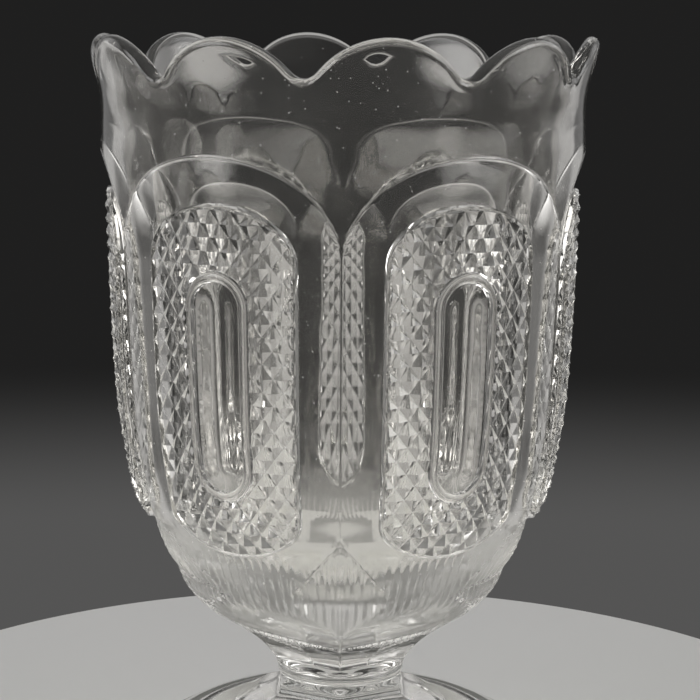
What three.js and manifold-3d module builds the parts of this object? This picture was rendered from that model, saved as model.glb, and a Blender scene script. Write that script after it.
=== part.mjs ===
// A footed sugar bowl of clear pressed glass, without its lid.
// Three pieces of glass, fused hot on the real thing: the bowl, a thin joining wafer and the foot with
// its stem. Millimetres, +Z up, origin at the centre of the flat face that the foot stands on.
// The bowl's front, which has a pillar in the middle, faces -Y.

import * as THREE from 'three';
import { mergeVertices } from 'three/addons/utils/BufferGeometryUtils.js';
import Module from 'manifold-3d';

const wasm = await Module();
wasm.setup();

// Heights above the table
const footEdgeHeight = 3.1;
const collarHeight = 10.3;
const stemHeight = 16.8;
const waferThickness = 2;
const neckTopHeight = 22.2;
const neckBendHeight = 27.4;
const floorHeight = 33.1;
const undersideHeight = 38.7;
const pillarFootHeight = 54.5;
const pillarBendHeight = 60.3;
const cavityBendHeight = 64.3;
const waistHeight = 76.5;
const pillarTopHeight = 103.4;
const shoulderHeight = 113;
const archHeight = 124.6;
const bandTopHeight = 135.3;
const lipHeight = 145.3;
const rimHeight = 147.5;

// Radii of the bowl
const neckRadius = 12.5;
const neckTopRadius = 13.4;
const neckBendRadius = 17.8;
const undersideRadius = 31.9;
const pillarFootRadius = 41.8;
const pillarBendRadius = 43.4;
const waistRadius = 45.8;
const shoulderRadius = 47.3;
const bandRadius = 48;
const lipRadius = 50.6;

// How far a panel's smooth face leans out under its arch and curls in below, and how it bulges
const faceLean = 3.3;
const faceCurl = 5.2;
const faceBulge = 73;

// The cavity and the wall of the flared rim
const cavityFloorWidth = 21.5;
const cavityBendRadius = 39.1;
const cavityTopRadius = 44.5;
const rimWall = 3.4;

// Scallops of the rim
const scallopCount = 10;
const scallopDepth = 8.5;
const scallopTurn = -10;

// Panels of diamond points, each with a long oval in its middle
const panelCount = 6;
const panelHalfWidth = 16.1;
const panelSideTop = 106.4;
const panelSideBottom = 58;
const panelArchRise = 10.9;
const panelBottomDrop = 8.4;
const pointTurn = 2.56;
const pointRise = 2.54;
const pointDepth = 1.1;
const ovalMiddle = 83.2;
const ovalHalfWidth = 6.7;
const ovalHalfHeight = 21.8;
const ovalBead = 2;
const ovalBeadDrop = 0.3;
const ovalWindowDrop = 1.1;

// How deep the points and the ovals are rooted behind the tips, and how far grooves stay off the face
const pointsRoot = 3;
const ovalRoot = 3.4;
const grooveCover = 0.15;

// The wafer
const waferRadius = 13;
const waferEdge = 1;

// The stem and the plate of the foot
const stemRadius = 12.3;
const stemSides = 6;
const stemSquareness = 0.7;
const stemRound = 0.8;
const flareRadius = 14.4;
const flareHeight = 14.9;
const flareEndRadius = 17;
const flareEndHeight = 13;
const collarRadius = 21.5;
const collarStep = 1.2;
const plateInnerRadius = 24.9;
const plateMiddleRadius = 33.8;
const plateMiddleHeight = 5.8;
const footRadius = 40.2;
const footEdgeRound = 1;
const restInnerRadius = 32.5;
const hollowDepth = 2.7;
const hollowFlatRadius = 6;

// How finely the round shapes are stepped, in shares of a scallop and of the wall's heights
const scallopShares = [0, 0.26, 0.42, 0.5, 0.58, 0.74];
const pillarShares = [-0.25, -0.15, 0, 0.16, 0.55, 1];
const archShares = [0.33, 0.57, 0.8, 1, 1.14];
const undersideSteps = 8;
const floorSteps = 6;
const stemSteps = 48;
const ovalSteps = 16;
const faceStrips = 6;

const neckHeight = stemHeight + waferThickness;
const pillarTurn = Math.PI / panelCount;

// A smooth curve through [height, value] stations, read at a height.
function smooth(stations) {
  const slopes = stations.map(([z], i) => {
    const before = stations[Math.max(i - 1, 0)];
    const after = stations[Math.min(i + 1, stations.length - 1)];
    return (after[1] - before[1]) / (after[0] - before[0]);
  });
  return (z) => {
    const last = stations.length - 2;
    let i = stations.findIndex(([height]) => height > z) - 1;
    if (i === -2) i = last;
    i = Math.max(0, Math.min(i, last));
    const [z0, v0] = stations[i];
    const [z1, v1] = stations[i + 1];
    const h = z1 - z0;
    const t = (z - z0) / h;
    if (t < 0) return v0 + slopes[i] * (z - z0);
    if (t > 1) return v1 + slopes[i + 1] * (z - z1);
    const rest = 1 - t;
    return (1 + 2 * t) * rest * rest * v0 + t * rest * rest * h * slopes[i]
      + t * t * (3 - 2 * t) * v1 - t * t * rest * h * slopes[i + 1];
  };
}

// The turned shape of the bowl before its panels are cut.
const blankRadius = smooth([
  [neckHeight, neckRadius],
  [neckTopHeight, neckTopRadius],
  [neckBendHeight, neckBendRadius],
  [undersideHeight, undersideRadius],
  [pillarFootHeight, pillarFootRadius],
  [pillarBendHeight, pillarBendRadius + 1],
  [waistHeight, waistRadius + 1],
  [shoulderHeight, shoulderRadius + 0.3],
  [archHeight, bandRadius],
  [bandTopHeight, bandRadius],
  [lipHeight, lipRadius],
  [rimHeight, lipRadius],
]);

// The pillars' ridges and the tips of the diamond points lie on this surface.
const tipRadius = smooth([
  [undersideHeight, undersideRadius],
  [pillarFootHeight, pillarFootRadius],
  [pillarBendHeight, pillarBendRadius],
  [waistHeight, waistRadius],
  [shoulderHeight, shoulderRadius],
  [archHeight, shoulderRadius],
]);

// The cavity's radius from the bend above its floor up to the rim.
const cavityRadius = smooth([
  [cavityBendHeight, cavityBendRadius],
  [bandTopHeight, cavityTopRadius],
  [lipHeight, lipRadius - rimWall],
  [rimHeight, lipRadius - rimWall],
]);

// Distance of a panel's smooth face from the axis, at a height and a distance across the panel.
function faceDistance(z, across) {
  const ridge = tipRadius(z);
  const crown = ridge * Math.cos(pillarTurn) + (ridge * Math.sin(pillarTurn)) ** 2 / (2 * faceBulge);
  const up = Math.max(0, (z - pillarTopHeight) / (archHeight - pillarTopHeight));
  const down = Math.max(0, pillarFootHeight - z) / faceCurl;
  return crown + faceLean * up ** 1.6 + down ** 2 - across ** 2 / (2 * faceBulge);
}

// Height of the scalloped rim at an angle.
function rimAt(angle) {
  const period = 2 * Math.PI / scallopCount;
  const turn = THREE.MathUtils.euclideanModulo(angle - THREE.MathUtils.degToRad(scallopTurn), period);
  const off = Math.abs(2 * Math.min(turn, period - turn) / period);
  return rimHeight - scallopDepth * (1 - Math.sqrt(Math.max(0, 1 - off * off)));
}

function ring(angles, pointAt) {
  return angles.map((angle) => {
    const [radius, z] = pointAt(angle);
    return new THREE.Vector3(radius * Math.cos(angle), radius * Math.sin(angle), z);
  });
}

// Angles round the bowl, with one at each tip and each dip of the rim.
const bowlAngles = Array.from({ length: scallopCount }, (_, i) => scallopShares.map((share) => (
  THREE.MathUtils.degToRad(scallopTurn) + 2 * Math.PI * (i + share) / scallopCount
))).flat();
const stemAngles = Array.from({ length: stemSteps }, (_, i) => 2 * Math.PI * i / stemSteps);

// A closed skin over rings of points, each anticlockwise from above, with a fan over both ends.
function skin(rings) {
  const corners = [];
  const triangle = (...points) => points.forEach((p) => corners.push(p.x, p.y, p.z));
  const middle = (points) => points.reduce((sum, p) => sum.add(p), new THREE.Vector3())
    .divideScalar(points.length);
  const first = rings[0];
  const last = rings[rings.length - 1];
  const next = (points, i) => points[(i + 1) % points.length];
  first.forEach((p, i) => triangle(middle(first), next(first, i), p));
  for (let k = 0; k + 1 < rings.length; k += 1) {
    rings[k].forEach((p, i) => {
      triangle(p, next(rings[k], i), next(rings[k + 1], i));
      triangle(p, next(rings[k + 1], i), rings[k + 1][i]);
    });
  }
  last.forEach((p, i) => triangle(middle(last), p, next(last, i)));
  return new THREE.BufferGeometry().setAttribute('position', new THREE.Float32BufferAttribute(corners, 3));
}

// A geometry as a solid body, without the triangles that have shrunk to a line.
function solid(geometry) {
  const bare = geometry.index ? geometry.toNonIndexed() : geometry.clone();
  bare.deleteAttribute('normal');
  bare.deleteAttribute('uv');
  const merged = mergeVertices(bare, 1e-4);
  const triangles = [];
  for (let i = 0; i < merged.index.count; i += 3) {
    const corners = [0, 1, 2].map((k) => merged.index.getX(i + k));
    if (new Set(corners).size === 3) triangles.push(...corners);
  }
  return new wasm.Manifold(new wasm.Mesh({
    numProp: 3,
    vertProperties: merged.getAttribute('position').array,
    triVerts: new Uint32Array(triangles),
  }));
}

function geometryOf(body) {
  const { numProp, vertProperties, triVerts } = body.getMesh();
  const positions = new Float32Array(vertProperties.length / numProp * 3);
  for (let i = 0; i * 3 < positions.length; i += 1) {
    positions.set(vertProperties.subarray(i * numProp, i * numProp + 3), i * 3);
  }
  const geometry = new THREE.BufferGeometry();
  geometry.setAttribute('position', new THREE.BufferAttribute(positions, 3));
  geometry.setIndex(new THREE.BufferAttribute(new Uint32Array(triVerts), 1));
  return geometry;
}

// The bowl as it would be with a plain outside: turned wall, scalloped rim and cavity.
function bowlBlank() {
  const plain = (radiusAt, z) => ring(bowlAngles, () => [radiusAt(z), z]);
  const underside = Array.from({ length: undersideSteps + 1 }, (_, i) => (
    neckHeight + (pillarFootHeight - neckHeight) * (i / undersideSteps) ** 1.3
  ));
  const wall = [pillarBendHeight, waistHeight, shoulderHeight, archHeight, bandTopHeight];
  const lip = rimWall / 2;
  const flare = (radiusAt, share) => ring(bowlAngles, (angle) => {
    const z = bandTopHeight + share * (rimAt(angle) - lip - bandTopHeight);
    return [radiusAt(z), z];
  });
  const crest = (lean) => ring(bowlAngles, (angle) => {
    const z = rimAt(angle) - lip;
    const middle = (blankRadius(z) + cavityRadius(z)) / 2;
    const half = (blankRadius(z) - cavityRadius(z)) / 2;
    return [middle + half * Math.cos(lean), z + lip * Math.sin(lean)];
  });
  return skin([
    ...[...underside, ...wall].map((z) => plain(blankRadius, z)),
    flare(blankRadius, 0.5),
    flare(blankRadius, 1),
    crest(Math.PI / 3),
    crest(2 * Math.PI / 3),
    flare(cavityRadius, 1),
    flare(cavityRadius, 0.5),
    plain(cavityRadius, bandTopHeight),
    ...cavityFloor().map(({ x, y }) => ring(bowlAngles, () => [x, y])),
  ]);
}

// The cavity's rounded floor, from the bend inwards, as points of radius and height.
function cavityFloor() {
  const draft = (cavityTopRadius - cavityBendRadius) / (bandTopHeight - cavityBendHeight);
  const pull = (cavityBendHeight - floorHeight) * 0.6;
  const curve = new THREE.CubicBezierCurve(
    new THREE.Vector2(cavityBendRadius, cavityBendHeight),
    new THREE.Vector2(cavityBendRadius - draft * pull, cavityBendHeight - pull),
    new THREE.Vector2(cavityFloorWidth, floorHeight),
    new THREE.Vector2(0, floorHeight),
  );
  return curve.getPoints(floorSteps).slice(0, -1);
}

// What one panel's smooth face takes away from the blank, out to beyond the wall.
function faceCutter() {
  const halfWidth = bandRadius * Math.sin(pillarTurn) + 3;
  const outside = lipRadius + 8;
  const between = (low, high) => (share) => low + share * (high - low);
  const heights = [
    ...pillarShares.map(between(pillarFootHeight, pillarTopHeight)),
    ...archShares.map(between(pillarTopHeight, archHeight)),
  ];
  return skin(heights.map((z) => {
    const inner = Array.from({ length: faceStrips + 1 }, (_, i) => {
      const across = halfWidth * (1 - 2 * i / faceStrips);
      return new THREE.Vector3(faceDistance(z, across), across, z);
    });
    return [...inner, new THREE.Vector3(outside, -halfWidth, z), new THREE.Vector3(outside, halfWidth, z)];
  }));
}

// The lowest and the highest point of a panel's outline, at a distance across it.
function panelSpan(across) {
  const arc = (halfWidth) => Math.sqrt(Math.max(0, 1 - (across / halfWidth) ** 2));
  return [
    panelSideBottom - panelBottomDrop * arc(panelHalfWidth),
    panelSideTop + panelArchRise * arc(panelHalfWidth),
  ];
}

// Points round a long oval, anticlockwise from outside, as distance across and height.
function ovalOutline(inset) {
  const radius = ovalHalfWidth - inset;
  const straight = ovalHalfHeight - ovalHalfWidth;
  return Array.from({ length: ovalSteps }, (_, i) => {
    const angle = 2 * Math.PI * (i + 0.5) / ovalSteps;
    const end = Math.sign(Math.sin(angle)) * straight;
    return new THREE.Vector2(radius * Math.cos(angle), ovalMiddle + end + radius * Math.sin(angle));
  });
}

// How far a place on the grid of diamond points lies below their tips. Tips are where column + row is odd.
function pointDrop(column, row) {
  const fromTip = (t) => Math.abs(THREE.MathUtils.euclideanModulo(t, 2) - 1);
  return pointDepth * Math.max(fromTip(column + row), fromTip(column - row));
}

// A grid over one panel, its edges drawn in to the outline, at the radius that is given for each place.
function panelGrid(radiusAt) {
  const edge = THREE.MathUtils.radToDeg(Math.asin(panelHalfWidth / waistRadius)) / pointTurn - 0.5;
  const columns = Math.ceil(edge);
  const below = Math.ceil((ovalMiddle - panelSideBottom + panelBottomDrop) / pointRise);
  const above = Math.ceil((panelSideTop + panelArchRise - ovalMiddle) / pointRise);
  const rows = [];
  for (let j = -below; j <= above; j += 1) {
    const row = [];
    for (let i = -columns - 1; i <= columns; i += 1) {
      const column = THREE.MathUtils.clamp(i, -edge - 1, edge);
      const angle = THREE.MathUtils.degToRad((column + 0.5) * pointTurn);
      const z = THREE.MathUtils.clamp(ovalMiddle + j * pointRise, ...panelSpan(waistRadius * Math.sin(angle)));
      const radius = radiusAt(z, angle, pointDrop(column, (z - ovalMiddle) / pointRise));
      row.push(new THREE.Vector3(radius * Math.cos(angle), radius * Math.sin(angle), z));
    }
    rows.push(row);
  }
  return rows;
}

// A closed slab between two grids of the same size, split along the grooves of the diamond points.
function slab(inner, outer) {
  const corners = [];
  const triangle = (...points) => points.forEach((p) => corners.push(p.x, p.y, p.z));
  const quad = (a, b, c, d) => {
    triangle(a, b, c);
    triangle(a, c, d);
  };
  const rows = outer.length - 1;
  const columns = outer[0].length - 1;
  for (let j = 0; j < rows; j += 1) {
    for (let i = 0; i < columns; i += 1) {
      const face = [outer[j][i], outer[j][i + 1], outer[j + 1][i + 1], outer[j + 1][i]];
      if (face[0].length() + face[2].length() > face[1].length() + face[3].length()) {
        face.push(face.shift());
      }
      quad(...face);
      quad(inner[j][i], inner[j + 1][i], inner[j + 1][i + 1], inner[j][i + 1]);
    }
  }
  for (let i = 0; i < columns; i += 1) {
    quad(inner[0][i], inner[0][i + 1], outer[0][i + 1], outer[0][i]);
    quad(outer[rows][i], outer[rows][i + 1], inner[rows][i + 1], inner[rows][i]);
  }
  for (let j = 0; j < rows; j += 1) {
    quad(outer[j][0], outer[j + 1][0], inner[j + 1][0], inner[j][0]);
    quad(inner[j][columns], inner[j + 1][columns], outer[j + 1][columns], outer[j][columns]);
  }
  return new THREE.BufferGeometry().setAttribute('position', new THREE.Float32BufferAttribute(corners, 3));
}

// The diamond points inside the panel's outline. Where the oval stands, they dip into the wall.
function panelPoints() {
  const face = panelGrid((z, angle, drop) => {
    const tip = tipRadius(z);
    const across = tip * Math.sin(angle);
    const groove = faceDistance(z, across) / Math.cos(angle) + grooveCover;
    return inOval(across, z) ? tip - pointsRoot : Math.max(tip - drop, groove);
  });
  const behind = panelGrid((z) => tipRadius(z) - ovalRoot);
  return slab(behind, face);
}

// Whether a place on the panel is well inside the oval's outline.
function inOval(across, z) {
  const straight = ovalHalfHeight - ovalHalfWidth;
  const end = Math.max(0, Math.abs(z - ovalMiddle) - straight);
  return Math.hypot(across, end) < ovalHalfWidth - ovalBead / 3;
}

// The oval: a rounded bead that stands among the points, round a smooth window.
function panelOval() {
  const profile = [
    [0, ovalRoot],
    [0, pointDepth],
    [ovalBead / 2, ovalBeadDrop],
    [ovalBead, ovalWindowDrop],
  ];
  const rings = profile.map(([inset, drop]) => ovalOutline(inset).map(({ x: across, y: z }) => {
    const radius = tipRadius(z) - drop;
    return new THREE.Vector3(Math.sqrt(radius * radius - across * across), across, z);
  }));
  return skin(rings);
}

function bowl() {
  const turns = Array.from({ length: panelCount }, (_, i) => 2 * Math.PI * i / panelCount);
  const turned = (geometry, angle) => solid(geometry.clone().rotateZ(angle));
  const face = faceCutter();
  const points = panelPoints();
  const oval = panelOval();
  let body = solid(bowlBlank());
  turns.forEach((angle) => {
    body = body.subtract(turned(face, angle));
  });
  turns.forEach((angle) => {
    body = body.add(turned(points, angle));
    body = body.add(turned(oval, angle));
  });
  return geometryOf(body);
}

// The thin layer of glass that joins the bowl to the stem, squeezed out a little all round.
function wafer() {
  const upright = (waferThickness - waferEdge) / 2;
  const rings = [[neckRadius, 0], [waferRadius, upright], [waferRadius, upright + waferEdge]];
  rings.push([neckRadius, waferThickness]);
  return skin(rings.map(([radius, rise]) => ring(stemAngles, () => [radius, stemHeight + rise])));
}

// Radius round a stem with flat sides, an edge to the front, for a radius to the middle of a side.
function sided(angle, radius, squareness) {
  const side = 2 * Math.PI / stemSides;
  const turn = THREE.MathUtils.euclideanModulo(angle, side);
  const off = Math.min(turn, side - turn);
  return radius * (1 + squareness * (1 / Math.cos(off) - 1));
}

// The foot: a round plate, hollowed below, that rises to a ledge and a flat-sided stem.
function foot() {
  const round = (radius, z) => ring(stemAngles, () => [radius, z]);
  const flat = (radius, z) => ring(stemAngles, (angle) => [sided(angle, radius, stemSquareness), z]);
  return skin([
    round(hollowFlatRadius, hollowDepth),
    round((hollowFlatRadius + restInnerRadius) / 2, hollowDepth * 0.9),
    round(restInnerRadius - 3, hollowDepth * 0.4),
    round(restInnerRadius, 0),
    round(footRadius - footEdgeRound, 0),
    round(footRadius, footEdgeRound),
    round(footRadius, footEdgeHeight - footEdgeRound),
    round(footRadius - footEdgeRound, footEdgeHeight),
    round(plateMiddleRadius, plateMiddleHeight),
    round(plateInnerRadius, collarHeight - 2 * collarStep),
    flat(collarRadius, collarHeight - collarStep),
    flat(collarRadius, collarHeight),
    flat(flareEndRadius, flareEndHeight),
    flat(flareRadius, flareHeight),
    flat(stemRadius, stemHeight - stemRound),
    flat(stemRadius - stemRound / 2, stemHeight),
  ]);
}

function clearGlass() {
  return new THREE.MeshStandardMaterial({
    color: 0xe6e9e4, roughness: 0.05, metalness: 0, transparent: true, opacity: 0.35,
  });
}

const group = new THREE.Group();

function place(name, geometry) {
  const mesh = new THREE.Mesh(geometry, clearGlass());
  mesh.name = name;
  group.add(mesh);
}

place('foot', foot());
place('joining_wafer', wafer());
place('bowl', bowl());

export default group;
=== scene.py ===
import math

import bmesh
import bpy
import numpy as np
from mathutils import Matrix, Vector
from mathutils.geometry import delaunay_2d_cdt


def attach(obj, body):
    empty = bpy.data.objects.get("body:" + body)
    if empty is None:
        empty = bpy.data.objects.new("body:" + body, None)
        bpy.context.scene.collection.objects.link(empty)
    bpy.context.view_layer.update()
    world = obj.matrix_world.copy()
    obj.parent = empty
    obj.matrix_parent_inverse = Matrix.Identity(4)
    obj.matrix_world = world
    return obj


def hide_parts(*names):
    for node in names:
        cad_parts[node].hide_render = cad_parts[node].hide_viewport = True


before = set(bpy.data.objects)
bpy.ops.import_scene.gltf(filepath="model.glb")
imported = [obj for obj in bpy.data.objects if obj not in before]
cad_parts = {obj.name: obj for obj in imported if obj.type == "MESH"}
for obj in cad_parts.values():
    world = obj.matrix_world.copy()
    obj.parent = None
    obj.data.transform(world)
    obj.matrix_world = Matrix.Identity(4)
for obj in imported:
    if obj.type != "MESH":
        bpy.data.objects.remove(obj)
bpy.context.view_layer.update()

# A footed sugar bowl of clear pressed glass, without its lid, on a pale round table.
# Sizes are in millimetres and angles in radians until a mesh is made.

MM = 0.001
TURN = 2 * math.pi

# Heights above the table
FOOT_EDGE_HEIGHT = 3.1
COLLAR_HEIGHT = 10.3
FLARE_END_HEIGHT = 12.4
FLARE_HEIGHT = 13.8
STEM_HEIGHT = 16.8
NECK_HEIGHT = 18.8
NECK_TOP_HEIGHT = 22.2
NECK_BEND_HEIGHT = 27.4
FLOOR_HEIGHT = 33.1
UNDERSIDE_HEIGHT = 38.7
PILLAR_FOOT_HEIGHT = 54.5
PILLAR_BEND_HEIGHT = 60.3
CAVITY_BEND_HEIGHT = 64.3
WAIST_HEIGHT = 76.5
PILLAR_TOP_HEIGHT = 103.4
SHOULDER_HEIGHT = 113
ARCH_HEIGHT = 126
BAND_TOP_HEIGHT = 135.3
LIP_HEIGHT = 145
RIM_HEIGHT = 147.2

# Radii of the bowl, and the shapes of its faces, edges and rim
NECK_RADIUS = 12.5
NECK_BLEND = 1.4
NECK_TOP_RADIUS = 13.4
NECK_BEND_RADIUS = 17.8
UNDERSIDE_RADIUS = 31.9
PILLAR_FOOT_RADIUS = 41.8
PILLAR_BEND_RADIUS = 43.4
WAIST_RADIUS = 45.8
SHOULDER_RADIUS = 47.3
WALL_PAST_TIPS = 1
SHOULDER_PAST_TIPS = 0.3
BAND_RADIUS = 48
LIP_RADIUS = 50.3
FACE_LEAN = 4.6
FACE_SCOOP = 2.2
FACE_RUNOUT = 0.21
RUNOUT_ROUND = 0.6
FACE_BULGE = 110
PILLAR_ROUND = 0.16
EDGE_ROUND = 0.1
CREST_HEIGHT = 0.12
CREST_HALF_WIDTH = 0.34
CAVITY_FLOOR_WIDTH = 21.5
CAVITY_BEND_RADIUS = 39.1
CAVITY_TOP_RADIUS = 44.5
CAVITY_MIDDLE_HEIGHT = 95
RIM_WALL = 3.4
SCALLOPS = 10
SCALLOP_DEPTH = 7.5
SCALLOP_TURN = math.radians(-8.3)
LOBE_STEEPNESS = 0.27
DIP_ROUND = 9.2

# Panels of diamond points, each with a long oval
PANELS = 6
PANEL_HALF_WIDTH = 16.1
PANEL_SIDE_TOP = 106.4
PANEL_SIDE_BOTTOM = 58
PANEL_ARCH_RISE = 10.9
PANEL_BOTTOM_DROP = 8.4
POINT_TURN = math.radians(2.56)
POINT_RISE = 2.54
POINT_DEPTH = 1.1
BORDER_DROP = 0.45
BORDER_LEAST_RISE = 0.2
BORDER_STEPS = (0, 0.25, 0.5, 0.75, 1.0)
FIELD_INSET = BORDER_STEPS[-1]
OVAL_MIDDLE = 83.2
OVAL_HALF_WIDTH = 6.7
OVAL_HALF_HEIGHT = 21.8
OVAL_BEAD = 2.0
OVAL_BEAD_RISE = 0.85
OVAL_DISH = 0.6
OVAL_GAP = 0.3

# Wear and a painted highlight: the inside is etched below its rim, its floor is cloudy, and raised edges
# are whitened as a painted highlight
ETCHED_TOP, ETCHED_BOTTOM = 138, 128
ETCHED_ROUGHNESS = 0.05
CLOUD_TOP, CLOUD_BOTTOM = 62, 44
CLOUDY_ROUGHNESS = 0.08
CLOUDY_HAZE = 0.2
EDGE_HIGHLIGHT = 0.55

# The glass: its colours, the scales of its patterns, per metre, the depth of its waves, in metres,
# and how strong its smears, dust, film and the painted highlight on its raised edges are
TINT = (0.975, 0.964, 0.937)
SHADOW_TINT = (0.93, 0.94, 0.93, 1)
REFRACTION = 1.5
WAVE_SCALE = 70
SMEAR_SCALE = 260
FILM_SCALE = 45
DUST_SCALE = 420
WAVE_DEPTH = 0.0006
NOISE_LOW, NOISE_HIGH = 0.35, 0.75
CLEAN_ROUGHNESS, SMEARED_ROUGHNESS = 0.004, 0.03
SPECK_CORE, SPECK_EDGE = 0.045, 0.07
SPECK_CLEAR = 0.4
THIN_FILM, THICK_FILM = 0.4, 1.8
EDGE_HIGHLIGHT_STARTS, EDGE_HIGHLIGHT_FULL = 0.52, 0.6

# The rays and the six flat sides of the underside
RAYS = 120
RAY_DEPTH = 0.5
RAY_LOW, RAY_HIGH = 29.0, 55.5
RAY_LOW_FADE, RAY_HIGH_FADE = 3, 4
RAYS_FROM_PILLAR = 8
RAY_SIDE_FADE = 3
RAY_PANEL_FADE = 2
SIDES_MEET = 32.6
SIDES_TOP = 41
SIDES_RUNOUT = 0.5
SIDES_ROUND = 0.25

# The wafer, the stem and the plate of the foot
WAFER_RADIUS = 13
STEM_RADIUS = 12.3
STEM_SIDES = 6
STEM_ROUND = 0.4
STEM_LOW_FADE, STEM_HIGH_FADE = 3, 1.2
FLARE_RADIUS = 12.8
FLARE_END_RADIUS = 16.2
COLLAR_RADIUS = 21.5
COLLAR_STEP = 1.2
COLLAR_SPREAD = 0.6
COLLAR_MARGIN = 1
PLATE_INNER_RADIUS = 24.9
PLATE_MIDDLE_RADIUS = 33.8
PLATE_MIDDLE_HEIGHT = 5.8
FOOT_RADIUS = 40.2
REST_INNER_RADIUS = 32.5
HOLLOW_DEPTH = 2.7
HOLLOW_FLAT_RADIUS = 6
HOLLOW_SLOPE_WIDTH, HOLLOW_SLOPE_SHARE = 3, 0.4

# The stage, in metres and degrees. A glow is its azimuth, elevation, spread and strength,
# and the backdrop's low and high are heights in a direction of length 1
FLOOR_RADIUS = 0.115
FLOOR_PAINT = (0.55, 0.55, 0.545, 1)
FLOOR_ROUGHNESS = 0.7
CAMERA_PLACE = (0.0016, -0.4, 0.151)
CAMERA_ROLL = math.radians(0.35)
FRAME_WIDTH = 700
FOCAL_PIXELS = 2000
PIXELS_BELOW_EYE = 335
LIGHT_COLOUR = (1, 0.99, 0.98, 1)
ROOM_LIGHT = 0.06
WALL_LIGHT = 0.29
WINDOWS_SEEN = 0.04
CEILING = (0, 90, 62, 0.35)
HIGH_WALL = (90, 32, 30, 0.3)
RIGHT_WINDOW = (-12, 21, 25, 4.4)
LEFT_WINDOW = (205, 24, 24, 4.4)
RIGHT_BACK_WINDOW = (28, 22, 29, 1.6)
LEFT_BACK_WINDOW = (152, 22, 29, 1.6)
BACKDROP_AZIMUTH, BACKDROP_ELEVATION = 90, -8
BACKDROP_SPREAD, WALLS_SPREAD = 30, 54
BACKDROP_LOW, BACKDROP_HIGH = -0.25, -0.17
BACKDROP_LOW_LIGHT, BACKDROP_LIGHT = 0.09, 0.014

# How finely the bowl is meshed. The panels' patch is drawn flat, at one radius.
# Corners closer than WELD become one, and shorter edges than LEAST_EDGE go, in metres
WELD, LEAST_EDGE = 3e-6, 1e-6
PATCH_LOW, PATCH_HIGH = 41.0, 130.0
PATCH_ROW = 0.8
RAY_TURN, PLAIN_TURN = math.radians(0.5), math.radians(1)
OUTLINE_STEP = 0.75
OVAL_END_STEPS = 40
SPARE_GAP = 0.3
EDGE_COLUMNS = 61
# Lines that follow an edge, by their distance from it, and those over the oval's bead, by its share
ARCH_LINES = (-0.6, -0.34, -0.2, -0.09, 0, 0.09, 0.2, 0.34, 0.6)
ARM_LINES = (-0.45, -0.25, -0.1, 0, 0.1, 0.25, 0.45)
PILLAR_LINES = (0, 0.12, 0.26, 0.45, 0.8)
BEAD_SHARES = (0, 0.04, 0.14, 0.3, 0.5, 0.7, 0.86, 0.96, 1)
EDGE_ARM_START, EDGE_ARM_END = 0.29, 0.98
FLAT_RADIUS = 46.0
FINE_STEPS, COARSE_STEPS = 720, 360
UNDERSIDE_RINGS = 26
BAND_RINGS = 10
CAVITY_RINGS = 12
FLOOR_RINGS = 18
LIP_RINGS = 12


def smooth(*stations):
    """A smooth curve through (height, value) stations, as a function of height."""
    zs, vs = (np.array(column, float) for column in zip(*stations))
    before = np.maximum(np.arange(len(zs)) - 1, 0)
    after = np.minimum(np.arange(len(zs)) + 1, len(zs) - 1)
    slopes = (vs[after] - vs[before]) / (zs[after] - zs[before])

    def at(z):
        z = np.asarray(z, float)
        i = np.clip(np.searchsorted(zs, z, side="right") - 1, 0, len(zs) - 2)
        h = zs[i + 1] - zs[i]
        t = np.clip((z - zs[i]) / h, 0, 1)
        rest = 1 - t
        inside = ((1 + 2 * t) * rest**2 * vs[i] + t * rest**2 * h * slopes[i]
                  + t**2 * (3 - 2 * t) * vs[i + 1] - t**2 * rest * h * slopes[i + 1])
        below = slopes[0] * np.minimum(z - zs[0], 0)
        above = slopes[-1] * np.maximum(z - zs[-1], 0)
        return inside + below + above

    return at


# The turned wall, the tips of the points and pillars, and the cavity
blank_radius = smooth(
    (NECK_HEIGHT, NECK_RADIUS), (NECK_TOP_HEIGHT, NECK_TOP_RADIUS),
    (NECK_BEND_HEIGHT, NECK_BEND_RADIUS), (UNDERSIDE_HEIGHT, UNDERSIDE_RADIUS),
    (PILLAR_FOOT_HEIGHT, PILLAR_FOOT_RADIUS), (PILLAR_BEND_HEIGHT, PILLAR_BEND_RADIUS + WALL_PAST_TIPS),
    (WAIST_HEIGHT, WAIST_RADIUS + WALL_PAST_TIPS),
    (SHOULDER_HEIGHT, SHOULDER_RADIUS + SHOULDER_PAST_TIPS),
    (ARCH_HEIGHT, BAND_RADIUS), (BAND_TOP_HEIGHT, BAND_RADIUS), (LIP_HEIGHT, LIP_RADIUS),
    (RIM_HEIGHT, LIP_RADIUS),
)
tip_radius = smooth(
    (NECK_BEND_HEIGHT, NECK_BEND_RADIUS), (UNDERSIDE_HEIGHT, UNDERSIDE_RADIUS),
    (PILLAR_FOOT_HEIGHT, PILLAR_FOOT_RADIUS), (PILLAR_BEND_HEIGHT, PILLAR_BEND_RADIUS),
    (WAIST_HEIGHT, WAIST_RADIUS), (SHOULDER_HEIGHT, SHOULDER_RADIUS), (ARCH_HEIGHT, SHOULDER_RADIUS),
)
cavity_radius = smooth(
    (CAVITY_BEND_HEIGHT, CAVITY_BEND_RADIUS), (BAND_TOP_HEIGHT, CAVITY_TOP_RADIUS),
    (LIP_HEIGHT, LIP_RADIUS - RIM_WALL), (RIM_HEIGHT, LIP_RADIUS - RIM_WALL),
)


def blend(a, b, share):
    """From a to b as share goes from 0 to 1."""
    return a + (b - a) * np.clip(share, 0, 1)


def ease(share):
    """A smooth step from 0 to 1."""
    t = np.clip(share, 0, 1)
    return t * t * (3 - 2 * t)


def least(a, b, round_off):
    """The lesser of two surfaces, with the edge between them rounded off."""
    near = np.maximum(round_off - np.abs(a - b), 0) / round_off
    return np.minimum(a, b) - near * near * round_off / 4


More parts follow.
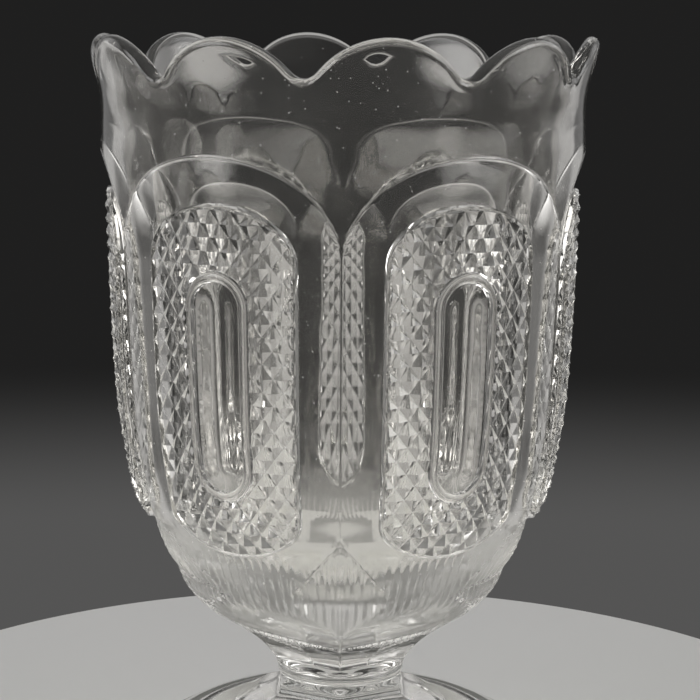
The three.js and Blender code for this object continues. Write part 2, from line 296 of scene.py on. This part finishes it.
def six_sided(angle, flat, round_off):
    """Radius of a six-sided stem with an edge at the front, from the distance of its sides."""
    side = TURN / STEM_SIDES
    off = np.mod(angle + side / 2, side) - side / 2
    return least(flat / np.cos(off), flat / np.cos(side - np.abs(off)), round_off)


def ray_depth(angle, z):
    """How deep the rays are pressed in."""
    wave = 0.5 - 0.5 * np.cos(RAYS * angle)
    return RAY_DEPTH * wave * ease((z - RAY_LOW) / RAY_LOW_FADE) * ease((RAY_HIGH - z) / RAY_HIGH_FADE)


def underside_radius(angle, z):
    """The round underside with its rays, cut by six flat sides that run up from the neck."""
    flat = blank_radius(z)
    full = 1 / math.cos(math.pi / STEM_SIDES) - 1
    swell = full * np.clip((SIDES_TOP - z) / (SIDES_TOP - SIDES_MEET), 0, 1)
    turned = flat * (1 + swell) - ray_depth(angle, z)
    sides = six_sided(angle, flat + SIDES_RUNOUT * np.maximum(z - SIDES_TOP, 0), SIDES_ROUND)
    return least(turned, sides, EDGE_ROUND)


def crest(meet, angle, z):
    """A fine raised line where two surfaces meet, from the difference of their radii."""
    step = 0.05
    flattest = 0.05
    up = meet(angle, z + step) - meet(angle, z - step)
    across = meet(angle + step / FLAT_RADIUS, z) - meet(angle - step / FLAT_RADIUS, z)
    slope = np.maximum(np.hypot(up, across) / (2 * step), flattest)
    away = meet(angle, z) / slope / CREST_HALF_WIDTH
    return CREST_HEIGHT * np.maximum(1 - away**2, 0) ** 2


def face_radius(angle, z):
    """Radius of a panel's smooth face, at an angle from the panel's middle."""
    ridge = tip_radius(z)
    half = math.pi / PANELS
    crown = ridge * math.cos(half) + (ridge * math.sin(half)) ** 2 / (2 * FACE_BULGE)
    up = np.maximum(0, (z - PILLAR_TOP_HEIGHT) / (ARCH_HEIGHT - PILLAR_TOP_HEIGHT))
    down = PILLAR_FOOT_HEIGHT - z
    down = (down + np.sqrt(down**2 + RUNOUT_ROUND)) / 2
    crown = crown + FACE_LEAN * up**FACE_SCOOP + FACE_RUNOUT * down
    s2 = np.maximum(np.sin(angle) ** 2, 1e-9)
    c = np.cos(angle)
    return (np.sqrt(c * c + 2 * crown * s2 / FACE_BULGE) - c) * FACE_BULGE / s2


def panel_inset(x, z):
    """How far inside a panel's outline a place is, in mm."""
    high = z > (PANEL_SIDE_TOP + PANEL_SIDE_BOTTOM) / 2
    middle = np.where(high, PANEL_SIDE_TOP, PANEL_SIDE_BOTTOM)
    tall = np.where(high, PANEL_ARCH_RISE, PANEL_BOTTOM_DROP)
    rise = np.where(high, np.maximum(z - middle, 0), np.minimum(z - middle, 0))
    reach = np.hypot(x / PANEL_HALF_WIDTH, rise / tall)
    slope = np.hypot(x / PANEL_HALF_WIDTH**2, rise / tall**2)
    return np.where(reach < 1e-6, PANEL_HALF_WIDTH, (1 - reach) * reach / np.maximum(slope, 1e-12))


def oval_inset(x, z):
    """How far inside the oval's outline a place is, in mm."""
    straight = OVAL_HALF_HEIGHT - OVAL_HALF_WIDTH
    end = np.maximum(np.abs(z - OVAL_MIDDLE) - straight, 0)
    return OVAL_HALF_WIDTH - np.hypot(x, end)


def point_drop(angle, z):
    """How far the diamond points lie below their tips."""
    column = angle / POINT_TURN - 0.5
    row = (z - OVAL_MIDDLE) / POINT_RISE

    def from_tip(t):
        return np.abs(np.mod(t, 2) - 1)

    return POINT_DEPTH * np.maximum(from_tip(column + row), from_tip(column - row))


def outer_radius(angle, z):
    """The outside of the bowl from the underside to the band, over one panel's sixth of the turn."""
    sector = TURN / PANELS
    base = least(face_radius(angle, z), face_radius(angle - sector, z), PILLAR_ROUND)
    base = least(base, face_radius(angle + sector, z), PILLAR_ROUND)
    from_pillar = FLAT_RADIUS * (sector / 2 - np.abs(angle))
    panel_bottom = PANEL_SIDE_BOTTOM - PANEL_BOTTOM_DROP
    below_panel = ease((from_pillar - RAYS_FROM_PILLAR) / RAY_SIDE_FADE)
    below_panel = below_panel * ease((panel_bottom - z) / RAY_PANEL_FADE)
    base = least(base - ray_depth(angle, z) * below_panel, underside_radius(angle, z), EDGE_ROUND)
    base = base + crest(lambda a, h: face_radius(a, h) - blank_radius(h), angle, z)
    x = FLAT_RADIUS * angle
    inset = panel_inset(x, z)
    inside = oval_inset(x, z)
    tip = tip_radius(z)
    groove = tip - POINT_DEPTH
    field = tip - point_drop(angle, z)
    rise_end, fall_start, fall_end, field_start = BORDER_STEPS[1:]
    field = blend(groove, field, (inset - fall_end) / (field_start - fall_end))
    field = blend(groove, field, -inside / OVAL_GAP)
    border = np.maximum(tip - BORDER_DROP, base + BORDER_LEAST_RISE)
    fall = blend(border, groove, (inset - fall_start) / (fall_end - fall_start))
    field = np.where(inset < fall_end, fall, field)
    field = np.where(inset < rise_end, blend(base, border, inset / rise_end), field)
    across = np.clip(2 * inside / OVAL_BEAD - 1, -1, 1)
    bead = groove + OVAL_BEAD_RISE * np.sqrt(1 - across**2)
    dish = groove - OVAL_DISH * ease((inside - OVAL_BEAD) / (OVAL_HALF_WIDTH - OVAL_BEAD))
    field = np.where(inside > 0, np.where(inside < OVAL_BEAD, bead, dish), field)
    return np.where(inset > 0, field, base)


def rim_at(angle):
    """Height of the scalloped rim."""
    period = TURN / SCALLOPS
    turn = np.mod(angle - SCALLOP_TURN, period)
    off = 2 * np.minimum(turn, period - turn) / period

    def lobe(off):
        return RIM_HEIGHT - SCALLOP_DEPTH * (off**2 + LOBE_STEEPNESS * off**6)

    return -least(-lobe(off), -lobe(2 - off), DIP_ROUND)


def around(radius, z, angles):
    """A ring of points, in mm."""
    radius = np.broadcast_to(radius, angles.shape)
    z = np.broadcast_to(z, angles.shape)
    return np.stack([radius * np.cos(angles), radius * np.sin(angles), z], axis=1)


class Skin:
    """Points and faces gathered for one mesh. Slot 0 is glass, and slot 1 a joint inside the glass."""

    def __init__(self):
        self.points, self.faces, self.slots, self.count = [], [], [], 0

    def add(self, points, faces, slot=0):
        self.points.append(np.asarray(points, float))
        self.faces += [tuple(int(i) + self.count for i in face) for face in faces]
        self.slots += [slot] * len(faces)
        self.count += len(points)

    def rings(self, rings, slot=0):
        """Bands between rings of equal length, facing out where the rings go up."""
        n = len(rings[0])
        faces = [(k * n + i, k * n + (i + 1) % n, (k + 1) * n + (i + 1) % n, (k + 1) * n + i)
                 for k in range(len(rings) - 1) for i in range(n)]
        self.add(np.concatenate(rings), faces, slot)

    def cap(self, ring, slot=0, up=False):
        """A fan over a ring, facing down unless up is set."""
        n = len(ring)
        turn = [(n, i, (i + 1) % n) if up else (n, (i + 1) % n, i) for i in range(n)]
        self.add(np.vstack([ring, ring.mean(axis=0)]), turn, slot)

    def mesh(self, name, materials, sharp):
        mesh = bpy.data.meshes.new(name)
        mesh.from_pydata((np.concatenate(self.points) * MM).tolist(), [], self.faces)
        mesh.polygons.foreach_set("material_index", self.slots)
        edit = bmesh.new()
        edit.from_mesh(mesh)
        bmesh.ops.remove_doubles(edit, verts=edit.verts, dist=WELD)
        bmesh.ops.dissolve_degenerate(edit, edges=edit.edges, dist=LEAST_EDGE)
        edit.to_mesh(mesh)
        edit.free()
        mesh.shade_smooth()
        mesh.set_sharp_from_angle(angle=math.radians(sharp))
        for material in materials:
            mesh.materials.append(material)
        piece = bpy.data.objects.new(name, mesh)
        bpy.context.scene.collection.objects.link(piece)
        return piece


class Drawing:
    """Points and lines on the flattened sixth of the bowl, x across and z up, in mm."""

    def __init__(self):
        self.points, self.lines = [], []

    def line(self, points, closed=False):
        first = len(self.points)
        self.points += [tuple(map(float, p)) for p in points]
        last = len(self.points) - 1
        self.lines += [(i, i + 1) for i in range(first, last)]
        if closed:
            self.lines.append((last, first))


def crossing(start, end, inside):
    """The place between start, which is inside, and end, which is outside, where inside changes."""
    low, high = 0.0, 1.0
    for _ in range(40):
        middle = (low + high) / 2
        if inside(start + (end - start) * middle):
            low = middle
        else:
            high = middle
    return start + (end - start) * low


def outline_angles():
    """Directions from the panel's middle to places spaced evenly along its outline."""
    step = OUTLINE_STEP
    arcs = []
    ends = ((PANEL_SIDE_TOP, PANEL_ARCH_RISE, 0), (PANEL_SIDE_BOTTOM, PANEL_BOTTOM_DROP, math.pi))
    for middle, tall, start in ends:
        count = round(math.pi * (PANEL_HALF_WIDTH + tall) / 2 / step)
        turns = start + np.arange(count + 1) * math.pi / count
        arcs.append(np.stack([PANEL_HALF_WIDTH * np.cos(turns), middle + tall * np.sin(turns)], axis=1))
    side = np.arange(PANEL_SIDE_BOTTOM + step, PANEL_SIDE_TOP - step / 2, step)
    for x in (-PANEL_HALF_WIDTH, PANEL_HALF_WIDTH):
        arcs.append(np.stack([np.full(len(side), x), side], axis=1))
    places = np.concatenate(arcs)
    return np.unique(np.round(np.arctan2(places[:, 1] - OVAL_MIDDLE, places[:, 0]), 6))


def oval_angles():
    """Directions from the oval's middle to places spaced evenly along its outline."""
    straight = OVAL_HALF_HEIGHT - OVAL_HALF_WIDTH
    turns = np.arange(OVAL_END_STEPS) * math.pi / OVAL_END_STEPS
    top = np.stack([OVAL_HALF_WIDTH * np.cos(turns), straight + OVAL_HALF_WIDTH * np.sin(turns)], axis=1)
    side = np.arange(PATCH_ROW / 2, straight, PATCH_ROW)
    sides = [np.stack([np.full(len(side), x), y], axis=1) for x in (-OVAL_HALF_WIDTH, OVAL_HALF_WIDTH)
             for y in (side, -side)]
    places = np.concatenate([top, -top, *sides])
    return np.unique(np.round(np.arctan2(places[:, 1], places[:, 0]), 6))


def loop(angles, inside, extra=()):
    """A closed line round the panel's middle where inside changes, with extra places on it kept."""
    centre = np.array([0, OVAL_MIDDLE])
    extra = [np.asarray(p) for p in extra]
    places = []
    for angle in angles:
        out = np.array([math.cos(angle), math.sin(angle)])
        place = crossing(centre, centre + 60 * out, inside)
        if all(np.hypot(*(place - other)) > 0.25 for other in extra):
            places.append(place)
    places += extra
    places.sort(key=lambda p: math.atan2(p[1] - OVAL_MIDDLE, p[0]))
    return places


def diamond_lines():
    """The edges of the diamond points inside their field, and where they cross its two borders."""
    def in_field(p):
        return panel_inset(*p) > FIELD_INSET and oval_inset(*p) < -OVAL_GAP

    def place(i, j):
        return np.array([FLAT_RADIUS * (i + 0.5) * POINT_TURN, OVAL_MIDDLE + j * POINT_RISE])

    # The grid reaches just past the panel on every side
    columns = math.ceil(PANEL_HALF_WIDTH / (FLAT_RADIUS * POINT_TURN)) + 2
    rows = math.ceil((PANEL_SIDE_TOP + PANEL_ARCH_RISE - OVAL_MIDDLE) / POINT_RISE) + 1
    edges = set()
    for i in range(-columns, columns):
        for j in range(-rows, rows):
            if (i + j) % 2:
                corners = [(i + 1, j), (i, j + 1), (i - 1, j), (i, j - 1)]
                for k, corner in enumerate(corners):
                    edges.add(tuple(sorted([(i, j), corner])))
                    edges.add(tuple(sorted([corner, corners[k - 1]])))
    lines, outer, inner = [], [], []
    for a, b in sorted(edges):
        start, end = place(*a), place(*b)
        here, there = in_field(start), in_field(end)
        if here and there:
            lines.append((start, end))
        elif here or there:
            if there:
                start, end = end, start
            cut = crossing(start, end, in_field)
            (outer if abs(panel_inset(*cut) - FIELD_INSET) < 0.01 else inner).append(cut)
            lines.append((start, cut))
    return lines, distinct(outer), distinct(inner)


def distinct(places):
    """The places without those that lie on another."""
    kept = []
    for place in places:
        if all(np.hypot(*(place - other)) > 0.02 for other in kept):
            kept.append(place)
    return kept


def edge_height(x, in_face, out_of_face):
    """Height of the edge where a panel's smooth face meets the turned wall, between two heights."""
    def on_face(z):
        return face_radius(x / FLAT_RADIUS, z) < blank_radius(z)

    return crossing(in_face, out_of_face, on_face)


def sector_patch():
    """One panel's sixth of the outside, as places on the flattened wall and triangles between them."""
    half = FLAT_RADIUS * math.pi / PANELS
    drawing = Drawing()
    lines, outer_cuts, inner_cuts = diamond_lines()
    for start, end in lines:
        drawing.line([start, end])
    angles = outline_angles()
    for inset in BORDER_STEPS:
        extra = outer_cuts if inset == FIELD_INSET else ()
        drawing.line(loop(angles, lambda p, i=inset: panel_inset(*p) > i, extra), closed=True)
    angles = oval_angles()
    for share in BEAD_SHARES:
        inset = share * OVAL_BEAD
        drawing.line(loop(angles, lambda p, i=inset: oval_inset(*p) > i), closed=True)
    drawing.line(loop(angles, lambda p: oval_inset(*p) > -OVAL_GAP, inner_cuts), closed=True)

    # The wall's own edges: the arch above, the pillars at both sides
    columns = np.linspace(-half, half, EDGE_COLUMNS)
    tops = np.array([edge_height(x, PILLAR_TOP_HEIGHT, ARCH_HEIGHT + 1) for x in columns])
    for shift in ARCH_LINES:
        drawing.line([(x, z + shift) for x, z in zip(columns[1:-1], tops[1:-1])])
    arm_columns = columns[(columns > EDGE_ARM_START * half) & (columns < EDGE_ARM_END * half)]
    for side in (-1, 1):
        arm = [(side * x, edge_height(x, WAIST_HEIGHT, PATCH_LOW - 2)) for x in arm_columns]
        for shift in ARM_LINES:
            drawing.line([(x, z + shift) for x, z in arm if z > PATCH_LOW + 1.5])
    sides = np.concatenate([np.arange(PATCH_LOW, PATCH_HIGH, PATCH_ROW), [PATCH_HIGH]])
    for shift in PILLAR_LINES:
        for side in (-1, 1):
            limit = PATCH_HIGH if shift == 0 else tops[0] - 1.5
            drawing.line([(side * (half - shift), z) for z in sides
                          if z <= limit and (shift == 0 or z > PILLAR_FOOT_HEIGHT)])

    # Plain places over the rest, finer where the rays run
    fixed = np.array(drawing.points)
    spare = []
    row = 0
    z = PATCH_LOW
    while z <= PATCH_HIGH + 0.01:
        turn = RAY_TURN if z < RAY_HIGH else PLAIN_TURN
        steps = round(math.pi / PANELS / turn)
        edge_row = row == 0 or z > PATCH_HIGH - 0.01
        shift = 0.5 if row % 2 and not edge_row else 0
        for k in range(-steps, steps + 1):
            x = FLAT_RADIUS * turn * (k + shift)
            if abs(x) > half - 1e-6 and not edge_row:
                continue
            if panel_inset(x, z) > FIELD_INSET - 0.1 and oval_inset(x, z) < OVAL_BEAD + SPARE_GAP:
                continue
            if edge_row or np.hypot(*(fixed - (x, z)).T).min() > SPARE_GAP:
                spare.append((x, z))
        row += 1
        z = PATCH_HIGH if PATCH_HIGH - z < 1.2 and z < PATCH_HIGH - 0.01 else z + PATCH_ROW
    drawing.points += spare
    points, _, faces, *_ = delaunay_2d_cdt([Vector(p) for p in drawing.points], drawing.lines, [], 0, 1e-5)
    return np.array([tuple(p) for p in points]), faces


def floor_curve(count):
    """The cavity's rounded floor, from its bend to the axis, as radius and height."""
    draft = (CAVITY_TOP_RADIUS - CAVITY_BEND_RADIUS) / (BAND_TOP_HEIGHT - CAVITY_BEND_HEIGHT)
    pull = 0.6 * (CAVITY_BEND_HEIGHT - FLOOR_HEIGHT)
    corners = np.array([
        (CAVITY_BEND_RADIUS, CAVITY_BEND_HEIGHT),
        (CAVITY_BEND_RADIUS - draft * pull, CAVITY_BEND_HEIGHT - pull),
        (CAVITY_FLOOR_WIDTH, FLOOR_HEIGHT),
        (0, FLOOR_HEIGHT),
    ], float)
    t = np.linspace(0, 1, count + 1)[:-1, None]
    weights = ((1 - t) ** 3, 3 * t * (1 - t) ** 2, 3 * t**2 * (1 - t), t**3)
    return sum(w * corner for w, corner in zip(weights, corners))


def make_bowl(materials):
    """The pressed bowl: underside, six panels, scalloped rim and cavity."""
    skin = Skin()
    fine = np.arange(FINE_STEPS) * TURN / FINE_STEPS
    coarse = np.arange(COARSE_STEPS) * TURN / COARSE_STEPS
    sector = np.mod(fine + TURN / PANELS / 2, TURN / PANELS) - TURN / PANELS / 2
    foot = around(NECK_RADIUS, NECK_HEIGHT, fine)
    rings = [foot]
    for z in np.linspace(NECK_HEIGHT, NECK_HEIGHT + NECK_BLEND, 6)[1:-1]:
        share = ease((z - NECK_HEIGHT) / NECK_BLEND)
        rings.append(around(blend(NECK_RADIUS, underside_radius(fine, z), share), z, fine))
    for z in np.linspace(NECK_HEIGHT + NECK_BLEND, PATCH_LOW, UNDERSIDE_RINGS + 1):
        rings.append(around(outer_radius(sector, np.full(FINE_STEPS, z)), z, fine))
    skin.rings(rings)
    skin.cap(rings[0], slot=1)

    places, faces = sector_patch()
    angles, z = places[:, 0] / FLAT_RADIUS, places[:, 1]
    radius = outer_radius(angles, z)
    for k in range(PANELS):
        turned = angles + k * TURN / PANELS
        skin.add(np.stack([radius * np.cos(turned), radius * np.sin(turned), z], axis=1), faces)

    lip = RIM_WALL / 2
    rim = rim_at(coarse)
    shares = np.linspace(0, 1, BAND_RINGS + 1)
    levels = [PATCH_HIGH + share * (rim - lip - PATCH_HIGH) for share in shares]
    upper = [around(blank_radius(level), level, coarse) for level in levels]
    middle = (blank_radius(levels[-1]) + cavity_radius(levels[-1])) / 2
    thick = (blank_radius(levels[-1]) - cavity_radius(levels[-1])) / 2
    for lean in np.linspace(0, math.pi, LIP_RINGS + 1)[1:-1]:
        upper.append(around(middle + thick * math.cos(lean), levels[-1] + lip * math.sin(lean), coarse))
    upper += [around(cavity_radius(level), level, coarse) for level in reversed(levels)]
    wall = np.linspace(PATCH_HIGH, CAVITY_BEND_HEIGHT, CAVITY_RINGS + 1)[1:-1]
    upper += [around(cavity_radius(z), z, coarse) for z in wall]
    upper += [around(r, z, coarse) for r, z in floor_curve(FLOOR_RINGS)]
    skin.rings(upper)
    skin.cap(upper[-1], up=True)
    return skin.mesh("bowl_glass", materials, sharp=27)


def make_wafer(materials):
    """The bulging disc of glass between the bowl and the stem."""
    angles = np.arange(180) * TURN / 180
    half = (NECK_HEIGHT - STEM_HEIGHT) / 2
    skin = Skin()
    rings = []
    for lean in np.linspace(-math.pi / 2, math.pi / 2, 13):
        radius = NECK_RADIUS + (WAFER_RADIUS - NECK_RADIUS) * math.cos(lean)
        rings.append(around(radius, STEM_HEIGHT + half * (1 + math.sin(lean)), angles))
    skin.rings(rings)
    skin.cap(rings[0], slot=1)
    skin.cap(rings[-1], slot=1, up=True)
    return skin.mesh("wafer_glass", materials, sharp=40)


def make_foot(materials):
    """The round plate with its hollow, the collar and the six-sided stem."""
    angles = np.arange(360) * TURN / 360
    edge_radius = FOOT_EDGE_HEIGHT / 2
    hollow = smooth(
        (0, HOLLOW_DEPTH), (HOLLOW_FLAT_RADIUS, HOLLOW_DEPTH),
        (REST_INNER_RADIUS - HOLLOW_SLOPE_WIDTH, HOLLOW_DEPTH * HOLLOW_SLOPE_SHARE), (REST_INNER_RADIUS, 0),
    )
    plate = smooth(
        (COLLAR_RADIUS, COLLAR_HEIGHT - COLLAR_STEP), (PLATE_INNER_RADIUS, COLLAR_HEIGHT - 2 * COLLAR_STEP),
        (PLATE_MIDDLE_RADIUS, PLATE_MIDDLE_HEIGHT), (FOOT_RADIUS - edge_radius, FOOT_EDGE_HEIGHT),
    )
    stem = smooth(
        (COLLAR_HEIGHT, COLLAR_RADIUS), (FLARE_END_HEIGHT, FLARE_END_RADIUS),
        (FLARE_HEIGHT, FLARE_RADIUS), (STEM_HEIGHT, STEM_RADIUS),
    )
    rings = [around(r, hollow(r), angles) for r in np.linspace(2, REST_INNER_RADIUS, 24)]
    rings.append(around(FOOT_RADIUS - edge_radius, 0, angles))
    for lean in np.linspace(-math.pi / 2, math.pi / 2, 12)[1:-1]:
        rings.append(around(FOOT_RADIUS - edge_radius * (1 - math.cos(lean)),
                            edge_radius * (1 + math.sin(lean)), angles))
    for r in np.linspace(FOOT_RADIUS - edge_radius, COLLAR_RADIUS + COLLAR_MARGIN, 20):
        rings.append(around(r, plate(r), angles))
    for share in np.linspace(0, 1, 8):
        z = COLLAR_HEIGHT - COLLAR_STEP * (1 - share)
        rings.append(around(COLLAR_RADIUS + COLLAR_SPREAD * (1 - share), z, angles))
    for z in np.linspace(COLLAR_HEIGHT, STEM_HEIGHT, 24)[1:]:
        flatness = ease((z - COLLAR_HEIGHT) / STEM_LOW_FADE) * ease((STEM_HEIGHT - z) / STEM_HIGH_FADE)
        flat = six_sided(angles, stem(z), STEM_ROUND)
        rings.append(around(blend(stem(z), flat, flatness), z, angles))
    skin = Skin()
    skin.rings(rings)
    skin.cap(rings[0])
    skin.cap(rings[-1], slot=1, up=True)
    return skin.mesh("foot_glass", materials, sharp=35)


def node(tree, kind, values=(), **settings):
    """A node of a kind, with its settings and the values of its input sockets."""
    made = tree.nodes.new("ShaderNode" + kind)
    for name, value in settings.items():
        setattr(made, name, value)
    for socket, value in dict(values).items():
        made.inputs[socket].default_value = value
    return made


def ramp(tree, value, start, end, low, high):
    """A smooth change from low to high as a value goes from start to end."""
    made = node(tree, "MapRange", {"From Min": start, "From Max": end, "To Min": low, "To Max": high},
                interpolation_type="SMOOTHSTEP")
    tree.links.new(value, made.inputs["Value"])
    return made.outputs["Result"]


def noise(tree, place, scale, detail):
    """Soft random values from 0 to 1 over the object's own space."""
    made = node(tree, "TexNoise", {"Scale": scale, "Detail": detail})
    tree.links.new(place, made.inputs["Vector"])
    return made.outputs["Fac"]


def inside_of_bowl(tree, geometry):
    """1 on the wall and floor of the cavity, whose outward normals point at its middle, and 0 elsewhere."""
    from_middle = node(tree, "VectorMath", operation="SUBTRACT")
    tree.links.new(geometry.outputs["Position"], from_middle.inputs[0])
    from_middle.inputs[1].default_value = (0, 0, CAVITY_MIDDLE_HEIGHT * MM)
    outward = node(tree, "VectorMath", operation="DOT_PRODUCT")
    tree.links.new(from_middle.outputs["Vector"], outward.inputs[0])
    tree.links.new(geometry.outputs["Normal"], outward.inputs[1])
    side = ramp(tree, geometry.outputs["Backfacing"], 0, 1, 1, -1)
    return ramp(tree, product(tree, outward.outputs["Value"], side), 0, -0.01, 0, 1)


def chain(tree, operation, values):
    """A chain of math nodes that takes one value after another."""
    total = values[0]
    for value in values[1:]:
        link = node(tree, "Math", operation=operation)
        tree.links.new(total, link.inputs[0])
        tree.links.new(value, link.inputs[1])
        total = link.outputs["Value"]
    return total


def sum_of(tree, *values):
    """The values added up."""
    return chain(tree, "ADD", values)


def product(tree, *values):
    """The values multiplied."""
    return chain(tree, "MULTIPLY", values)


def empty_material(name):
    """A material without any nodes yet."""
    material = bpy.data.materials.new(name)
    material.use_nodes = True
    material.node_tree.nodes.clear()
    return material


def clear_glass(name, tint, waviness, haze, hollow=False):
    """Clear pressed glass: wavy, faintly hazed and worn, with its raised edges whitened as a painted
    highlight and a few specks of dust.
    """
    material = empty_material(name)
    tree = material.node_tree
    geometry = node(tree, "NewGeometry")
    place = geometry.outputs["Position"]
    shader = node(tree, "BsdfPrincipled", {"Base Color": (*tint, 1), "IOR": REFRACTION})

    wave = node(tree, "Bump", {"Strength": waviness, "Distance": WAVE_DEPTH})
    tree.links.new(noise(tree, place, WAVE_SCALE, 1.5), wave.inputs["Height"])
    tree.links.new(wave.outputs["Normal"], shader.inputs["Normal"])

    smears = noise(tree, place, SMEAR_SCALE, 6)
    rough = ramp(tree, smears, NOISE_LOW, NOISE_HIGH, CLEAN_ROUGHNESS, SMEARED_ROUGHNESS)

    specks = node(tree, "TexVoronoi", {"Scale": DUST_SCALE})
    tree.links.new(place, specks.inputs["Vector"])
    clear = ramp(tree, specks.outputs["Distance"], SPECK_CORE, SPECK_EDGE, SPECK_CLEAR, 1)
    film = noise(tree, place, FILM_SCALE, 5)
    film = ramp(tree, film, NOISE_LOW, NOISE_HIGH, 1 - haze * THIN_FILM, 1 - haze * THICK_FILM)
    # Raised edges let less light through and show the pale tint: a painted highlight along them
    edges = ramp(tree, geometry.outputs["Pointiness"], EDGE_HIGHLIGHT_STARTS, EDGE_HIGHLIGHT_FULL, 1, 1 - EDGE_HIGHLIGHT)
    clear = product(tree, clear, film, edges)
    if hollow:
        inside = inside_of_bowl(tree, geometry)
        height = node(tree, "SeparateXYZ")
        tree.links.new(place, height.inputs["Vector"])
        z = height.outputs["Z"]
        depth = ramp(tree, z, CLOUD_TOP * MM, CLOUD_BOTTOM * MM, 0, 1)
        etched = ramp(tree, z, ETCHED_TOP * MM, ETCHED_BOTTOM * MM, 0, ETCHED_ROUGHNESS)
        cloudy = ramp(tree, depth, 0, 1, 0, CLOUDY_ROUGHNESS)
        rough = sum_of(tree, rough, product(tree, inside, sum_of(tree, etched, cloudy)))
        clear = product(tree, clear, ramp(tree, product(tree, inside, depth), 0, 1, 1, 1 - CLOUDY_HAZE))
    tree.links.new(rough, shader.inputs["Roughness"])
    tree.links.new(clear, shader.inputs["Transmission Weight"])

    path = node(tree, "LightPath")
    through = node(tree, "BsdfTransparent", {"Color": SHADOW_TINT})
    mix = node(tree, "MixShader")
    tree.links.new(path.outputs["Is Shadow Ray"], mix.inputs["Fac"])
    tree.links.new(shader.outputs["BSDF"], mix.inputs[1])
    tree.links.new(through.outputs["BSDF"], mix.inputs[2])
    output = node(tree, "OutputMaterial")
    tree.links.new(mix.outputs["Shader"], output.inputs["Surface"])
    return material


def joint_inside():
    """Where two pieces are fused, nothing shows."""
    material = empty_material("fused_joint")
    tree = material.node_tree
    through = node(tree, "BsdfTransparent")
    output = node(tree, "OutputMaterial")
    tree.links.new(through.outputs["BSDF"], output.inputs["Surface"])
    return material


def make_floor():
    """A pale round table top."""
    mesh = bpy.data.meshes.new("table_top")
    edit = bmesh.new()
    bmesh.ops.create_circle(edit, cap_ends=True, radius=FLOOR_RADIUS, segments=256)
    edit.to_mesh(mesh)
    edit.free()
    floor = bpy.data.objects.new("table_top", mesh)
    bpy.context.scene.collection.objects.link(floor)
    material = bpy.data.materials.new("table_paint")
    material.use_nodes = True
    shader = material.node_tree.nodes["Principled BSDF"]
    shader.inputs["Base Color"].default_value = FLOOR_PAINT
    shader.inputs["Roughness"].default_value = FLOOR_ROUGHNESS
    mesh.materials.append(material)


def glow(tree, direction, azimuth, elevation, spread, strength):
    """Soft light from one direction, all in degrees, fading out to its spread."""
    a, e = math.radians(azimuth), math.radians(elevation)
    toward = node(tree, "VectorMath", operation="DOT_PRODUCT")
    tree.links.new(direction, toward.inputs[0])
    toward.inputs[1].default_value = (math.cos(a) * math.cos(e), math.sin(a) * math.cos(e), math.sin(e))
    return ramp(tree, toward.outputs["Value"], math.cos(math.radians(spread)), 1, 0, strength)


def make_world():
    """A dim room with a dark backdrop, lit by soft windows at both sides and a soft ceiling."""
    world = bpy.data.worlds.new("studio")
    bpy.context.scene.world = world
    world.use_nodes = True
    tree = world.node_tree
    direction = node(tree, "TexCoord").outputs["Generated"]
    split = node(tree, "SeparateXYZ")
    tree.links.new(direction, split.inputs["Vector"])
    backdrop = ramp(tree, split.outputs["Z"], BACKDROP_LOW, BACKDROP_HIGH,
                    BACKDROP_LOW_LIGHT, BACKDROP_LIGHT)
    behind = (BACKDROP_AZIMUTH, BACKDROP_ELEVATION)
    near = glow(tree, direction, *behind, BACKDROP_SPREAD, 1)
    clear_of_backdrop = ramp(tree, near, 0, 0.5, 1, 0)
    wide = glow(tree, direction, *behind, WALLS_SPREAD, 1)
    walls = ramp(tree, wide, 0, 0.3, ROOM_LIGHT, ROOM_LIGHT + WALL_LIGHT)
    glows = (CEILING, HIGH_WALL, RIGHT_WINDOW, LEFT_WINDOW, RIGHT_BACK_WINDOW, LEFT_BACK_WINDOW)
    lights = [glow(tree, direction, *each) for each in glows]
    # The glass catches the windows, and the camera sees the plain room behind them
    seen = ramp(tree, node(tree, "LightPath").outputs["Is Camera Ray"], 0, 1, 1, WINDOWS_SEEN)
    windows = product(tree, seen, sum_of(tree, *lights))
    light = sum_of(tree, backdrop, product(tree, walls, clear_of_backdrop), windows)
    tree.nodes["Background"].inputs["Color"].default_value = LIGHT_COLOUR
    tree.links.new(light, tree.nodes["Background"].inputs["Strength"])


def make_camera():
    """The photograph's view: 400 mm from the bowl's axis and just above its rim."""
    data = bpy.data.cameras.new("camera")
    data.sensor_width = 36
    data.lens = FOCAL_PIXELS / FRAME_WIDTH * data.sensor_width
    camera = bpy.data.objects.new("camera", data)
    pitch = math.atan(PIXELS_BELOW_EYE / FOCAL_PIXELS)
    turn = Matrix.Rotation(math.pi / 2 - pitch, 4, "X") @ Matrix.Rotation(CAMERA_ROLL, 4, "Z")
    camera.matrix_world = Matrix.Translation(CAMERA_PLACE) @ turn
    bpy.context.scene.collection.objects.link(camera)
    bpy.context.scene.camera = camera


make_camera()
joint = joint_inside()
pieces = {
    "bowl": make_bowl([clear_glass("bowl_clear", TINT, waviness=0.25, haze=0.008, hollow=True), joint]),
    "joining_wafer": make_wafer([clear_glass("wafer_clear", TINT, waviness=0.2, haze=0.01), joint]),
    "foot": make_foot([clear_glass("foot_clear", TINT, waviness=0.25, haze=0.015), joint]),
}
for name, piece in pieces.items():
    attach(piece, "root")
    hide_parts(name)
make_floor()
make_world()

bpy.context.scene.view_settings.view_transform = "Standard"
